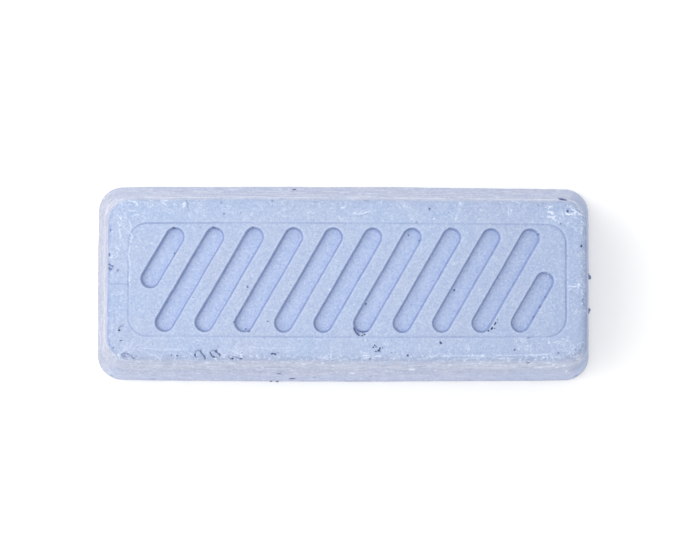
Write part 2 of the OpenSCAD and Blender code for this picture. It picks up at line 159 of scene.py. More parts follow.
# Scratches and hairs on the top: (points, half width, whiteness; below zero is dark)
SCRATCHES = [
    # broken rings and dark lines left by bursts
    ([(-29.75, -16.35), (-29.85, -15.95), (-30.15, -15.55), (-30.5, -15.2), (-30.75, -14.9)], 0.13, -0.95),
    ([(-30.75, -14.85), (-31.05, -14.65), (-31.45, -14.75), (-31.7, -15.1), (-31.85, -15.5), (-31.75, -16.0), (-31.45, -16.12)], 0.12, -0.6),
    ([(-28.65, -15.2), (-28.45, -15.55), (-28.15, -15.9), (-27.85, -16.0)], 0.14, -0.95),
    ([(-27.85, -16.0), (-27.4, -16.05), (-26.95, -16.3), (-26.75, -16.05)], 0.11, -0.5),
    ([(-26.65, -15.65), (-26.95, -15.35), (-27.35, -15.0), (-27.5, -14.85)], 0.13, -0.95),
    ([(-27.5, -14.85), (-27.95, -14.65), (-28.35, -14.7), (-28.6, -14.95)], 0.11, -0.55),
    ([(-24.85, -15.8), (-24.75, -16.2), (-24.4, -16.35), (-24.0, -16.5)], 0.12, -0.6),
    ([(-24.0, -16.5), (-23.9, -16.1), (-24.1, -15.78), (-24.6, -15.72)], 0.11, -0.45),
    ([(-23.55, -15.95), (-23.05, -16.12), (-22.65, -16.35), (-22.2, -16.48)], 0.12, -0.6),
    ([(-21.75, -15.95), (-21.4, -16.1)], 0.12, -0.45),
    ([(-46.95, -15.55), (-46.5, -15.4), (-45.9, -15.5), (-45.3, -15.7), (-44.9, -16.1), (-44.55, -16.55)], 0.12, -0.6),
    ([(-46.95, -15.55), (-46.85, -16.05), (-46.4, -16.6), (-45.7, -16.75)], 0.11, -0.45),
    ([(-46.5, -15.7), (-46.05, -16.35)], 0.11, -0.45),
    ([(-46.95, -9.75), (-47.35, -9.88), (-47.6, -10.3), (-47.5, -10.6)], 0.12, -0.65),
    ([(1.25, -10.0), (1.6, -10.65), (1.95, -11.1), (2.4, -11.45)], 0.17, -1.0),
    ([(2.0, -10.45), (2.5, -10.62), (3.1, -10.72), (3.7, -10.6), (4.2, -10.45)], 0.13, -0.7),
    ([(49.3, -3.8), (49.2, -4.3), (49.5, -5.2)], 0.11, -0.5),
    ([(46.75, -1.95), (47.35, -2.4), (47.95, -2.9), (48.5, -3.5)], 0.1, -0.35),
    ([(-33.9, 16.6), (-33.6, 16.0), (-33.5, 15.4), (-33.2, 14.2)], 0.1, -0.5),
    ([(-49.2, -1.0), (-47.4, -0.9), (-45.7, -1.1)], 0.09, -0.3),
    # white strokes
    ([(-45.9, 16.6), (-45.0, 16.4), (-44.4, 16.3), (-44.0, 15.8), (-44.0, 15.5)], 0.13, 0.8),
    ([(-45.6, 14.4), (-44.7, 14.3), (-44.3, 14.5), (-44.0, 14.2)], 0.09, 0.6),
    ([(-44.6, 13.4), (-44.0, 13.6), (-43.6, 13.5)], 0.1, 0.7),
    ([(-47.75, 13.2), (-47.4, 12.9), (-47.3, 12.5)], 0.13, 0.8),
    ([(-47.9, 12.0), (-47.6, 11.2), (-47.65, 10.5), (-47.45, 9.5), (-47.5, 8.8)], 0.12, 0.75),
    ([(-45.5, 12.0), (-45.15, 11.0), (-45.4, 10.0), (-44.95, 9.0), (-45.3, 7.6)], 0.12, 0.65),
    ([(-45.5, 6.8), (-45.75, 5.3), (-45.5, 3.9), (-45.2, 2.6)], 0.11, 0.6),
    ([(-45.3, 1.2), (-45.6, 0.0), (-45.3, -1.2)], 0.11, 0.55),
    ([(-38.95, 16.7), (-38.2, 16.5), (-37.8, 16.6)], 0.13, 0.8),
    ([(-33.4, 14.5), (-33.15, 13.5), (-32.95, 12.8)], 0.1, 0.45),
    ([(1.3, 13.85), (1.7, 13.6), (2.3, 13.55)], 0.1, 0.8),
    ([(2.3, 13.85), (3.1, 13.8), (4.1, 14.12)], 0.1, 0.8),
    ([(4.1, 14.15), (3.4, 14.35), (2.6, 14.3)], 0.08, 0.55),
    ([(1.5, 13.3), (2.5, 13.3), (3.4, 13.55), (4.1, 13.85)], 0.08, -0.3),
    ([(1.2, 14.0), (1.6, 14.1)], 0.11, 0.6),
    ([(41.95, 15.3), (42.4, 15.5), (42.9, 15.75)], 0.11, 0.9), ([(41.7, 15.85), (42.3, 15.7), (42.9, 15.6)], 0.11, 0.9),
    ([(41.9, 14.5), (42.4, 14.42), (42.9, 14.4)], 0.14, 1.0), ([(41.85, 13.5), (42.6, 13.4), (43.2, 13.35), (43.45, 13.65)], 0.13, 1.0),
    ([(42.9, 13.1), (43.3, 12.9), (43.6, 12.65)], 0.13, 0.9), ([(42.6, 14.1), (43.1, 13.95), (43.3, 14.3)], 0.1, 0.8),
    ([(45.75, 14.15), (46.2, 13.98), (46.7, 14.0), (47.15, 14.25)], 0.14, 1.0), ([(46.95, 15.1), (47.3, 14.95), (47.65, 14.8)], 0.12, 0.9),
    ([(47.45, 13.95), (47.6, 14.4), (47.9, 14.6), (48.2, 14.4)], 0.13, 1.0), ([(48.2, 14.35), (48.6, 14.1), (49.1, 13.95)], 0.14, 1.0),
    ([(45.6, 14.5), (45.75, 14.15)], 0.11, 0.8), ([(44.3, 13.4), (44.5, 12.8)], 0.1, 0.6), ([(45.0, 14.2), (45.2, 13.5)], 0.1, 0.6),
    ([(46.45, -1.15), (47.1, -1.25), (47.9, -1.15)], 0.13, 0.85), ([(48.1, -0.5), (48.45, -0.85), (48.1, -1.5)], 0.14, 1.0),
    ([(46.6, -1.75), (47.2, -2.15), (47.8, -2.65)], 0.11, 0.6), ([(48.9, -1.9), (49.2, -2.9)], 0.1, 0.6),
    ([(33.7, 15.6), (33.75, 14.4), (33.7, 13.4)], 0.09, 0.6), ([(34.2, 14.9), (34.1, 13.9)], 0.1, 0.8),
    ([(-1.5, 14.95), (-0.9, 15.08), (-0.6, 15.2)], 0.13, 0.8),
    ([(-20.5, -13.9), (-16.0, -14.2), (-11.0, -14.0)], 0.1, 0.35), ([(-43.0, -14.3), (-38.5, -14.6), (-34.0, -14.4)], 0.1, 0.35),
    ([(3.2, -15.6), (4.5, -15.55)], 0.11, 0.8), ([(5.6, -15.75), (6.8, -15.7)], 0.11, 0.8), ([(3.3, -16.05), (4.4, -16.0)], 0.1, 0.6),
    ([(2.6, -14.9), (4.3, -15.1)], 0.1, 0.5),
    ([(19.8, -15.75), (24.0, -15.65), (28.4, -15.7)], 0.09, 0.5), ([(30.9, -15.6), (33.6, -15.65), (36.4, -15.6)], 0.09, 0.6),
    ([(36.9, -15.6), (39.0, -15.55), (42.6, -15.4)], 0.1, 0.6),
    ([(-29.5, -16.9), (-27.5, -17.0)], 0.12, 0.5), ([(-34.5, -16.6), (-32.0, -16.8)], 0.12, 0.4),
]

# Crumbs of compound stuck on the outside: (x, y, z, size)
CRUMBS = [
    (54.95, 1.7, 1.3, 0.56), (54.9, 2.4, 1.0, 0.3), (54.85, -5.7, 1.5, 0.46), (54.85, -6.3, 1.2, 0.34), (54.7, 13.2, 1.2, 0.32),
    (-16.4, -21.6, 1.4, 0.40), (-15.0, -21.7, 1.2, 0.36), (-15.6, -21.5, 0.8, 0.24),
]

# ---------------------------------------------------------------- noise


class Noise:
    """Smooth gradient noise in 3-D, about -1 to 1, the same on every run."""

    def __init__(self, seed):
        r = np.random.default_rng(seed)
        self.perm = np.tile(r.permutation(256), 3)
        g = r.normal(size=(256, 3))
        self.grad = g / np.linalg.norm(g, axis=1)[:, None]

    def __call__(self, p):
        p = np.asarray(p, float)
        i = np.floor(p).astype(int)
        f = p - i
        i = i & 255
        w = f * f * f * (f * (f * 6 - 15) + 10)
        out = np.zeros(len(p))
        for dx in (0, 1):
            for dy in (0, 1):
                for dz in (0, 1):
                    a = self.perm[(i[:, 0] + dx) & 255]
                    b = self.perm[a + ((i[:, 1] + dy) & 255)]
                    h = self.perm[b + ((i[:, 2] + dz) & 255)]
                    d = ((f - (dx, dy, dz)) * self.grad[h]).sum(1)
                    wt = (w[:, 0] if dx else 1 - w[:, 0]) * (w[:, 1] if dy else 1 - w[:, 1]) * (w[:, 2] if dz else 1 - w[:, 2])
                    out += d * wt
        return out * 1.6


noise_a, noise_b, noise_c, noise_d = Noise(3), Noise(7), Noise(11), Noise(19)


def smoothstep(a, b, x):
    t = np.clip((x - a) / (b - a), 0, 1)
    return t * t * (3 - 2 * t)


# ---------------------------------------------------------------- the side band: profile and plan outline

c1, c2 = np.array([-BASE_R, BASE_R]), np.array([-(RIM_INSET + RIM_R), H - RIM_R])
gap = c2 - c1
WALL = math.atan2(gap[1], gap[0]) - math.acos((BASE_R - RIM_R) / np.linalg.norm(gap))  # the wall's outward normal

prof = []  # inset, height, inset of the corner's centre, outward and upward parts of the normal
for inset in np.linspace(UNDER_RING, BASE_R + 0.3, 3):
    prof.append((inset, 0.0, BASE_C, 0.0, -1.0))
for t in np.linspace(-math.pi / 2, WALL, 8):
    prof.append((BASE_R - BASE_R * math.cos(t), BASE_R + BASE_R * math.sin(t), BASE_C, math.cos(t), math.sin(t)))
a0, z0w = prof[-1][0], prof[-1][1]
a1, z1w = RIM_INSET + RIM_R - RIM_R * math.cos(WALL), H - RIM_R + RIM_R * math.sin(WALL)
for f in np.linspace(0, 1, 46)[1:-1]:
    prof.append((a0 + (a1 - a0) * f, z0w + (z1w - z0w) * f, BASE_C + (TOP_C - BASE_C) * f, math.cos(WALL), math.sin(WALL)))
for t in np.linspace(WALL, math.pi / 2, 13):
    prof.append((RIM_INSET + RIM_R - RIM_R * math.cos(t), H - RIM_R + RIM_R * math.sin(t), TOP_C, math.cos(t), math.sin(t)))
prof.append((TOP_RING - 0.25, H, TOP_C, 0.0, 1.0))
prof.append((TOP_RING, H, TOP_C, 0.0, 1.0))
prof = np.array(prof)
V_AT = np.r_[0, np.cumsum(np.hypot(np.diff(prof[:, 0]), np.diff(prof[:, 1])))]
V_END = V_AT[-1]

MID_C = (BASE_C + TOP_C) / 2
SECTIONS = [L - 2 * MID_C, 8.0, W - 2 * MID_C, 8.0] * 2
U_AT = np.r_[0, np.cumsum(SECTIONS)]
U_END = U_AT[-1]


def band(u, v):
    """Position on the side band, u around the bar and v up from under its edge."""
    inset, z, c = (np.interp(v, V_AT, prof[:, n]) for n in (0, 1, 2))
    r, hx, hy = c - inset, L / 2 - c, W / 2 - c
    u = np.mod(u, U_END)
    sec = np.clip(np.searchsorted(U_AT, u, side="right") - 1, 0, 7)
    f = (u - U_AT[sec]) / np.array(SECTIONS)[sec]
    sx = np.array([0, 1, 1, 1, 0, -1, -1, -1])[sec]
    sy = np.array([-1, -1, 0, 1, 1, 1, 0, -1])[sec]
    ang = np.radians(np.array([-90, -90, 0, 0, 90, 90, 180, 180])[sec] + np.where(sec % 2, 90 * f, 0))
    cx = np.where(sec == 0, (2 * f - 1) * hx, np.where(sec == 4, (1 - 2 * f) * hx, sx * hx))
    cy = np.where(sec == 2, (2 * f - 1) * hy, np.where(sec == 6, (1 - 2 * f) * hy, sy * hy))
    return np.c_[cx + r * np.cos(ang), cy + r * np.sin(ang), z]


def ring_u():
    """Stations around the bar, finer in the corners."""
    out = []
    for n, s in enumerate(SECTIONS):
        count = int(round(s / (0.42 if n % 2 == 0 else 0.36)))
        out.append(U_AT[n] + s * np.arange(count) / count)
    return np.concatenate(out)


RING = ring_u()

# ---------------------------------------------------------------- distances on the top


def capsule_distance(p, a, b, r):
    ab = b - a
    t = np.clip(((p - a) @ ab) / (ab @ ab), 0, 1)
    return np.linalg.norm(p - (a + t[:, None] * ab), axis=1) - r


def plate_distance(p, l, w, r):
    q = np.abs(p) - (l / 2 - r, w / 2 - r)
    return np.linalg.norm(np.maximum(q, 0), axis=1) + np.minimum(q.max(1), 0) - r


def capsule_ring(a, b, r, step):
    d = (b - a) / np.linalg.norm(b - a)
    n = np.array([-d[1], d[0]])
    run = np.linalg.norm(b - a)
    k = max(2, int(round(run / step)))
    arc = max(6, int(round(math.pi * (r + 0.3) / step)))
    s = np.arange(k)[:, None] / k
    th = (np.arange(arc) / arc * math.pi)[:, None]
    p1 = a - n * r + d * run * s
    p2 = b + r * (-n * np.cos(th) + d * np.sin(th))
    p3 = b + n * r - d * run * s
    p4 = a + r * (n * np.cos(th) - d * np.sin(th))
    return np.vstack([p1, p2, p3, p4])


def plate_ring(l, w, r, step):
    pts = []
    hx, hy = l / 2 - r, w / 2 - r
    for (ax, ay), (bx, by), (kx, ky), a in (
        ((-hx, -hy - r), (hx, -hy - r), (hx, -hy), -90), ((hx + r, -hy), (hx + r, hy), (hx, hy), 0),
        ((hx, hy + r), (-hx, hy + r), (-hx, hy), 90), ((-hx - r, hy), (-hx - r, -hy), (-hx, -hy), 180),
    ):
        n = int(round(math.hypot(bx - ax, by - ay) / step))
        for i in range(n):
            pts.append((ax + (bx - ax) * i / n, ay + (by - ay) * i / n))
        m = max(4, int(round(r * math.pi / 2 / step)))
        for i in range(m):
            t = math.radians(a + 90 * i / m)
            pts.append((kx + r * math.cos(t), ky + r * math.sin(t)))
    return np.array(pts)


def hexes(x0, x1, y0, y1, step, jitter):
    ys = np.arange(y0, y1, step * 0.866)
    xs = np.arange(x0, x1, step)
    gx, gy = np.meshgrid(xs, ys)
    gx = gx + (np.arange(len(ys)) % 2)[:, None] * step / 2
    p = np.c_[gx.ravel(), gy.ravel()]
    return p + rng.uniform(-jitter, jitter, p.shape) * step


def thin(points, fixed, room):
    """Points that keep their distance from fixed ones; room is one number or one for each point."""
    if not len(fixed):
        return points
    tree = kdtree.KDTree(len(fixed))
    for n, q in enumerate(fixed):
        tree.insert((q[0], q[1], 0), n)
    tree.balance()
    room = np.broadcast_to(room, len(points))
    keep = [tree.find((q[0], q[1], 0))[2] > r for q, r in zip(points, room)]
    return points[np.array(keep)]


def triangulate(points, edges):
    v, _, f, *_ = delaunay_2d_cdt([Vector(q) for q in points], edges, [], 0, 1e-5, False)
    return np.array([tuple(q) for q in v]), [tuple(t) for t in f]


# ---------------------------------------------------------------- marks placed on the surface

patches = []  # (place, half length, half width, turn) of every mark that needs a finer mesh
for x, y, z, a, b, turn, depth, s in PITS:
    patches.append(((x, y, z), a, b, turn))
for x, y, a, b, turn in BURSTS:
    patches.append(((x, y, 28), a * 1.05, b * 1.05, turn, 0.115))
for x, y, z, a, b, turn, s in SMEARS:
    patches.append(((x, y, z), a, b, turn))

gu, gv = np.meshgrid(np.linspace(0, U_END, 1400, endpoint=False), np.linspace(0, V_END, 130))
gu, gv = gu.ravel(), gv.ravel()
band_points = band(gu, gv)
ring_half = (L / 2 - TOP_RING, W / 2 - TOP_RING)


def on_top(x, y):
    return plate_distance(np.array([[x, y]]), 2 * ring_half[0], 2 * ring_half[1], TOP_C - TOP_RING)[0] < 0


def patch_points(cx, cy, a, b, turn, step):
    reach = 1.45
    r = max(a, b) * reach + step
    p = hexes(-r, r, -r, r, step, 0.12)
    ca, sa = math.cos(math.radians(turn)), math.sin(math.radians(turn))
    q = np.c_[p[:, 0] * ca + p[:, 1] * sa, -p[:, 0] * sa + p[:, 1] * ca]
    k = np.hypot(q[:, 0] / (a * reach + 0.1), q[:, 1] / (b * reach + 0.1)) < 1
    return p[k] + (cx, cy)


def patch_step(a, b):
    return clamp(min(a, b) / 2.2, 0.11, 0.22)


top_fine, band_fine = [], []
for (x, y, z), a, b, turn, *own in patches:
    step = own[0] if own else patch_step(a, b)
    if z > H - 0.3 and on_top(x, y):
        top_fine.append(patch_points(x, y, a, b, turn, step))
    else:
        n = np.argmin(((band_points - (x, y, z)) ** 2).sum(1))
        band_fine.append(patch_points(gu[n], gv[n], a, b, turn, max(step, 0.16)))
for pts, half, s in SCRATCHES:
    pts = np.array(pts)
    for p, q in zip(pts[:-1], pts[1:]):
        run = np.linalg.norm(q - p)
        d = (q - p) / run
        nrm = np.array([-d[1], d[0]])
        t = np.arange(0, run, 0.17)[:, None]
        for off in (-1.6, -0.8, 0, 0.8, 1.6):
            row = p + d * t + nrm * off * half
            row = row[[on_top(*r) for r in row]]
            if len(row):
                top_fine.append(row)
        for x, y in p + d * np.linspace(0, run, max(2, int(run / 0.4) + 1))[:, None]:
            if not on_top(x, y):
                n = np.argmin(((band_points - (x, y, H - 0.05)) ** 2).sum(1))
                band_fine.append(patch_points(gu[n], gv[n], 0.22, 0.22, 0, 0.16))


def merge(chunks, room):
    """Joins point sets, each keeping clear of those before it."""
    done = np.zeros((0, 2))
    for c in chunks:
        c = thin(c, done, room) if len(done) else c
        done = np.vstack([done, c])
    return done


# ---------------------------------------------------------------- top

points, edges = [], []


def add_loop(p):
    start = sum(len(q) for q in points)
    n = len(p)
    points.append(p)
    edges.extend((start + i, start + (i + 1) % n) for i in range(n))


top_outline = band(RING, np.full(len(RING), V_END))[:, :2]
add_loop(top_outline)
for a, b in GROOVES:
    for off in (0.34, 0.2, 0.1, 0.0, -0.1, -0.2, -0.3, -0.4, -0.5, -0.62, -0.8):
        add_loop(capsule_ring(a, b, GROOVE_R + off, 0.34 if off > -0.6 else 0.4))
for off in (-0.3, -0.15, 0.0, 0.15, 0.3):
    add_loop(plate_ring(LINE_L + 2 * off, LINE_W + 2 * off, LINE_R + off, 0.42))
fixed = np.vstack(points)


def inside(p, l, w, r, margin):
    return plate_distance(p, l, w, r) < -margin


top_l, top_w, top_r = 2 * ring_half[0], 2 * ring_half[1], TOP_C - TOP_RING
fine = merge(top_fine[::-1], 0.1)
fine = fine[inside(fine, top_l, top_w, top_r, 0.12)]
fine = thin(fine, fixed, 0.075)
base = hexes(-top_l / 2, top_l / 2, -top_w / 2, top_w / 2, 0.43, 0.13)
base = base[inside(base, top_l, top_w, top_r, 0.2)]
base = thin(base, fixed, 0.22)
base = thin(base, fine, 0.24)
points += [fine, base]
top_v, top_f = triangulate(np.vstack(points), edges)
top_xyz = np.c_[top_v, np.full(len(top_v), H)]

# ---------------------------------------------------------------- side band

points, edges = [], []
ring = np.r_[RING, U_END]
wall_lo, wall_hi = V_AT[10], V_AT[10 + 45]
rows = [v for v in V_AT if v <= wall_lo + 1e-6 or v >= wall_hi - 1e-6]
for v in rows:
    if v in (rows[0], rows[-1]):
        add_loop_start = sum(len(q) for q in points)
        points.append(np.c_[ring, np.full(len(ring), v)])
        edges.extend((add_loop_start + i, add_loop_start + i + 1) for i in range(len(ring) - 1))
    else:
        points.append(np.c_[ring, np.full(len(ring), v)])
seam_v = np.arange(wall_lo + 0.5, wall_hi - 0.3, 0.56)
points.append(np.c_[np.zeros(len(seam_v)), seam_v])
points.append(np.c_[np.full(len(seam_v), U_END), seam_v])
fixed = np.vstack(points)
fine = merge(band_fine, 0.14)
fine = fine[(fine[:, 0] > 0.3) & (fine[:, 0] < U_END - 0.3) & (fine[:, 1] > 0.2) & (fine[:, 1] < V_END - 0.15)]
fine = thin(fine, fixed, 0.07)
base = hexes(0.4, U_END - 0.3, wall_lo + 0.42, wall_hi - 0.36, 0.6, 0.13)
base = thin(base, fixed, 0.3)
base = thin(base, fine, 0.32)
points += [fine, base]
band_v, band_f = triangulate(np.vstack(points), edges)
band_v[:, 0] = np.where(np.abs(band_v[:, 0] - U_END) < 1e-4, 0.0, band_v[:, 0])
band_xyz = band(band_v[:, 0], band_v[:, 1])

# ---------------------------------------------------------------- underside

points, edges = [], []
add_loop(band(RING, np.zeros(len(RING)))[:, :2])
for off, step in ((0.5, 0.55), (1.2, 0.8), (2.1, 1.0), (3.2, 1.2)):
    points.append(plate_ring(L - 2 * UNDER_RING - 2 * off, W - 2 * UNDER_RING - 2 * off, max(1.2, BASE_C - UNDER_RING - off), step))
base = hexes(-L / 2, L / 2, -W / 2, W / 2, 1.25, 0.2)
base = base[inside(base, L - 2 * UNDER_RING - 8, W - 2 * UNDER_RING - 8, 2.0, 0)]
points.append(base)
under_v, under_f = triangulate(np.vstack(points), edges)
under_xyz = np.c_[under_v, np.zeros(len(under_v))]
under_f = [t[::-1] for t in under_f]

# ---------------------------------------------------------------- one closed mesh

xyz = np.vstack([top_xyz, band_xyz, under_xyz])
faces = top_f + [tuple(i + len(top_xyz) for i in t) for t in band_f]
faces += [tuple(i + len(top_xyz) + len(band_xyz) for i in t) for t in under_f]
bm = bmesh.new()
for p in xyz:
    bm.verts.new(p)
bm.verts.ensure_lookup_table()
for t in faces:
    bm.faces.new([bm.verts[i] for i in t])
bmesh.ops.remove_doubles(bm, verts=bm.verts, dist=0.004)
bmesh.ops.dissolve_degenerate(bm, dist=1e-5, edges=bm.edges)
bmesh.ops.recalc_face_normals(bm, faces=bm.faces)
open_edges = [e for e in bm.edges if len(e.link_faces) != 2]
print("bar mesh:", len(bm.verts), "points,", len(bm.faces), "faces,", len(open_edges), "open edges")
mesh = bpy.data.meshes.new("cast_bar_detail")
bm.to_mesh(mesh)
bm.free()

n_pts = len(mesh.vertices)
P = np.zeros(n_pts * 3)
mesh.vertices.foreach_get("co", P)
P = P.reshape(-1, 3)
N = np.zeros(n_pts * 3)
mesh.vertex_normals.foreach_get("vector", N)
N = N.reshape(-1, 3)
if N[np.argmax(P[:, 2])][2] < 0:
    mesh.flip_normals()
    N = -N
rest = P.copy()

# what each point belongs to
is_top = (P[:, 2] > H - 1e-3) & (plate_distance(P[:, :2], top_l + 0.01, top_w + 0.01, top_r + 0.005) < 0.004)
is_under = P[:, 2] < 1e-3
wall = smoothstep(0.24, 0.84, 1 - np.abs(N[:, 2]) + 0.32 * noise_b(P / 1.5 + 33))
wall[is_top] = 0

# ---------------------------------------------------------------- recesses in the top

xy = P[:, :2] + 0.05 * np.c_[noise_a(P / 7.0 + 4.1), noise_b(P / 7.0 + 9.3)] + 0.022 * np.c_[noise_c(P / 1.5), noise_d(P / 1.5)]
dist = np.full(n_pts, 9.0)
for a, b in GROOVES:
    dist = np.minimum(dist, capsule_distance(xy, a, b, GROOVE_R))


def smooth_min(a, b, k):
    h = np.maximum(k - np.abs(a - b), 0) / k
    return np.minimum(a, b) - h * h * k / 4


lip = 0.20 + 0.11 * np.clip(noise_a(P / 3.1 + 20), -1, 1)
cut = smooth_min(np.zeros(n_pts), dist * GROOVE_SLOPE, lip)
cut = -smooth_min(-cut, np.full(n_pts, GROOVE_D), 0.26)
line_d = plate_distance(xy, LINE_L, LINE_W, LINE_R)
line_strength = 0.62 + 0.34 * np.clip(noise_b(P / 9.0 + 31) * 1.4, -1, 1)
line_strength += 0.5 * np.exp(-(((rest[:, 0] + 37) / 6) ** 2) - (((rest[:, 1] - 11.8) / 3) ** 2))
line_strength += 0.45 * smoothstep(40, 44, rest[:, 0])
line = -0.17 * line_strength * np.exp(-((line_d / 0.14) ** 2))
step_in = -0.03 * (1 - smoothstep(-0.12, 0.12, line_d))
groove = smoothstep(0.05, -0.5, dist) * is_top
# painted shade on the recess walls, and below in the witness line
crease_shade = smoothstep(0.05, -0.08, dist) * smoothstep(-0.56, -0.30, dist) * (0.84 + 0.16 * np.clip(2 * noise_c(rest / 1.3 + 15), -1, 1))
# painted highlight: a pale ring just outside each recess lip, and below beside the witness line
lip_highlight = np.exp(-(((dist - 0.2) / 0.14) ** 2)) * is_top * (0.7 + 0.3 * np.clip(2 * noise_d(rest / 2.0), -1, 1))
lip_highlight = np.maximum(lip_highlight, 0.8 * line_strength * np.exp(-(((line_d - 0.34) / 0.13) ** 2)) * is_top)
crease_shade = np.maximum(crease_shade, 0.85 * line_strength * np.exp(-((line_d / 0.16) ** 2))) * is_top
P[is_top, 2] += (cut + line + step_in)[is_top]

# ---------------------------------------------------------------- casting waviness

swell = 0.085 * noise_a(rest / 17.0) + 0.032 * noise_b(rest / 5.0) + 0.012 * noise_c(rest / 1.7) + 0.006 * noise_d(rest / 0.8)
swell[wall > 0.5] *= 1.25
P += N * swell[:, None]

# sides swell a little in the middle of their length
bx, by = rest[:, 0] / (L / 2), rest[:, 1] / (W / 2)
P[:, 1] *= 1 + 0.020 * (0.42 - bx * bx)
P[:, 0] *= 1 + 0.0025 * (0.4 - by * by)

# ---------------------------------------------------------------- pits, bursts, smears, scratches

pit = np.zeros(n_pts)
bloom = np.zeros(n_pts)
stroke = np.zeros(n_pts)
tree = kdtree.KDTree(n_pts)
for n, p in enumerate(rest):
    tree.insert(p, n)
tree.balance()
ragged = noise_c(rest / 0.45)
ragged2 = noise_d(rest / 0.9 + 5)


def near(x, y, z, reach):
    """Points around a place on the surface, with their offsets along and across it."""
    _, n, _ = tree.find((x, y, z))
    nrm = N[n]
    p0 = rest[n] if z < H - 0.2 else np.array([x, y, rest[n][2]])
    if abs(nrm[2]) > 0.9:
        t1 = np.array([1.0, 0, 0])
    else:
        t1 = np.cross([0, 0, 1.0], nrm)
        t1 /= np.linalg.norm(t1)
        if abs(t1[0]) > 0.5 and t1[0] < 0:
            t1 = -t1
    t2 = np.cross(nrm, t1)
    if t2[2] < 0:
        t2 = -t2
    if abs(nrm[2]) > 0.9:
        t2 = np.array([0, 1.0, 0])
    idx = np.array([i for _, i, _ in tree.find_range(p0, reach)], int)
    q = rest[idx] - p0
    return idx, q @ t1, q @ t2


def oval(x, y, z, a, b, turn, wobble=0.18):
    reach = max(a, b) * 1.7 + 0.3
    idx, s, t = near(x, y, z, reach)
    ca, sa = math.cos(math.radians(turn)), math.sin(math.radians(turn))
    q = np.hypot((s * ca + t * sa) / a, (-s * sa + t * ca) / b)
    return idx, q * (1 + wobble * ragged[idx])


for x, y, z, a, b, turn, depth, s in PITS:
    idx, q = oval(x, y, z, a, b, turn)
    P[idx] -= N[idx] * (depth * (1 - smoothstep(0.35, 1.0, q)))[:, None]
    P[idx] += N[idx] * (0.035 * np.exp(-(((q - 1.2) / 0.22) ** 2)))[:, None]
    pit[idx] = np.maximum(pit[idx], s * (1 - smoothstep(0.68, 1.22, q)))
    bloom[idx] = np.maximum(bloom[idx], 0.25 * s * np.exp(-(((q - 1.35) / 0.25) ** 2)))
for n, (x, y, a, b, turn) in enumerate(BURSTS):
    idx, q = oval(x, y, 28, a, b, turn, 0.1)
    q = q * (1 + 0.42 * noise_a(rest[idx] / 0.8 + 2.3 * n) + 0.2 * ragged2[idx])
    gaps = 0.1 + 0.9 * smoothstep(-0.3, 0.1, noise_b(rest[idx] / 0.55 + 8.7 + n))
    trench = np.exp(-(((q - 0.86) / (0.14 / math.sqrt(a * b))) ** 2)) * gaps
    P[idx] -= N[idx] * (0.28 * trench + 0.07 * (q < 0.8))[:, None]
    pit[idx] = np.maximum(pit[idx], 1.2 * trench)
    pit[idx] = np.maximum(pit[idx], 0.18 * (1 - smoothstep(0.6, 0.9, q)))
for x, y, z, a, b, turn, s in SMEARS:
    idx, q = oval(x, y, z, a, b, turn, 0.35)
    m = (1 - smoothstep(0.6, 1.15, q * (1 + 0.25 * ragged2[idx])))
    P[idx] += N[idx] * (0.03 * s * m)[:, None]
    bloom[idx] = np.maximum(bloom[idx], s * m)
    if z < 27:
        stroke[idx] = np.maximum(stroke[idx], 0.85 * s * m)
for pts, half, s in SCRATCHES:
    pts = np.array(pts, float)
    best = np.full(n_pts, 9.0)
    zone = is_top & (np.abs(rest[:, 0] - pts[:, 0].mean()) < 8) & (np.abs(rest[:, 1] - pts[:, 1].mean()) < 10)
    zone |= (rest[:, 2] > H - 1.0) & (np.abs(rest[:, 0] - pts[:, 0].mean()) < 8) & (np.abs(rest[:, 1] - pts[:, 1].mean()) < 2)
    zi = np.flatnonzero(zone)
    wav = rest[zi, :2] + 0.1 * np.c_[ragged2[zi], ragged[zi]]
    for p, q in zip(pts[:-1], pts[1:]):
        best[zi] = np.minimum(best[zi], capsule_distance(wav, p, q, 0))
    m = 1 - smoothstep(0.7 * half, 1.4 * half, best)
    if s > 0:
        if half > 0.16:
            m = m * smoothstep(-0.5, 0.3, noise_a(rest / 1.1 + 60) + 0.4 * ragged)
        stroke = np.maximum(stroke, s * m)
        P[:, 2] += 0.02 * m
    else:
        pit = np.maximum(pit, -s * m)
        P[:, 2] -= 0.13 * -s * m

# nicks along the base edge and the rim, from handling
nicks = np.clip(noise_b(rest / (2.2, 2.2, 1.4) + 50) - 0.62, 0, 1)
edge_zone = np.exp(-(((rest[:, 2] - 0.5) / 0.6) ** 2)) * (wall > 0.05)
P -= N * (0.55 * nicks * edge_zone)[:, None]
rim_zone = np.exp(-(((rest[:, 2] - (H - 0.5)) / 0.5) ** 2)) * (~is_top)
P -= N * (0.30 * np.clip(noise_c(rest / 1.8 + 70) - 0.6, 0, 1) * rim_zone)[:, None]

# a ripple under the rim round the right-hand corners
turn_zone = smoothstep(0.25, 0.6, N[:, 0]) * smoothstep(0.12, 0.4, np.abs(N[:, 1]))
ripple = np.exp(-(((rest[:, 2] - 24.6 + 0.5 * noise_a(rest / 3.0 + 44)) / 0.65) ** 2)) * turn_zone
P -= N * (0.16 * ripple)[:, None]

# underside: the poured face, sunk a little in the middle with low ripples
sink = smoothstep(2.6, 12.0, -plate_distance(rest[:, :2], L, W, BASE_C))
P[is_under, 2] = (0.32 * sink + 0.03 * smoothstep(2.2, 4, -plate_distance(rest[:, :2], L, W, BASE_C)) * (1 + noise_a(rest / 6.0 + 80)))[is_under]
P[:, 2] = np.maximum(P[:, 2], 0.0)
